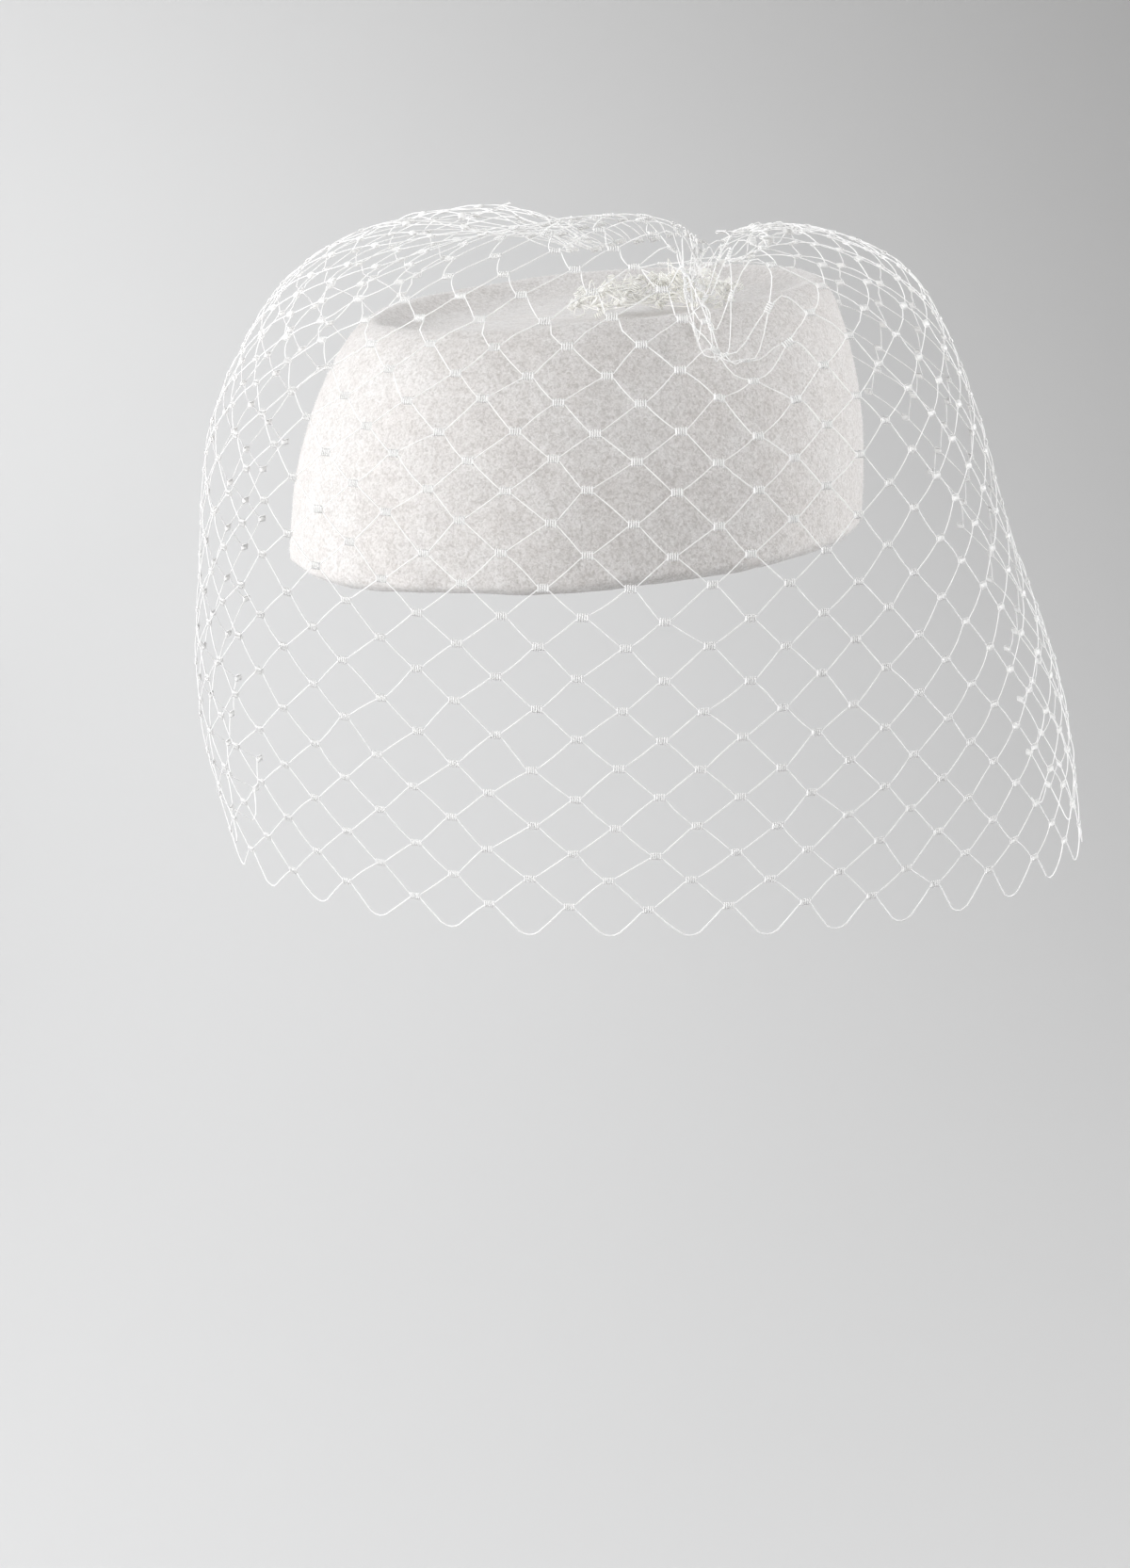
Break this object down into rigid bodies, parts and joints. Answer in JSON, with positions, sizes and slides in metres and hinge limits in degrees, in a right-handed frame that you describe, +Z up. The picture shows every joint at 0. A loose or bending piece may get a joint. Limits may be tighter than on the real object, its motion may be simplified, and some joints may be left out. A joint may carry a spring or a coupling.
{
  "type": "pillbox hat with birdcage veil",
  "caption": "Blocked wool felt pillbox hat with a coarse diamond net gathered on its tip, puffed over the crown and hanging below the rim as an open-backed birdcage veil.",
  "frame": {"origin": "centre of the rim plane, where the hat sits on the head", "axes": "+Z up out of the head, -Y towards the wearer's front, +X towards the wearer's left; the veil's middle faces 37 degrees from the front towards the wearer's left"},
  "size_m": [0.2637, 0.2378, 0.2225],
  "materials": {
    "white_wool_felt": "soft fuzzy felt, matte",
    "ivory_net": "smooth fine thread, slight sheen",
    "gathered_ivory_net": "bunched fine thread, slight sheen"
  },
  "bodies": {
    "root": {"felt_crown": "white_wool_felt", "veil_net": "ivory_net", "veil_gather": "gathered_ivory_net"}
  },
  "joints": []
}
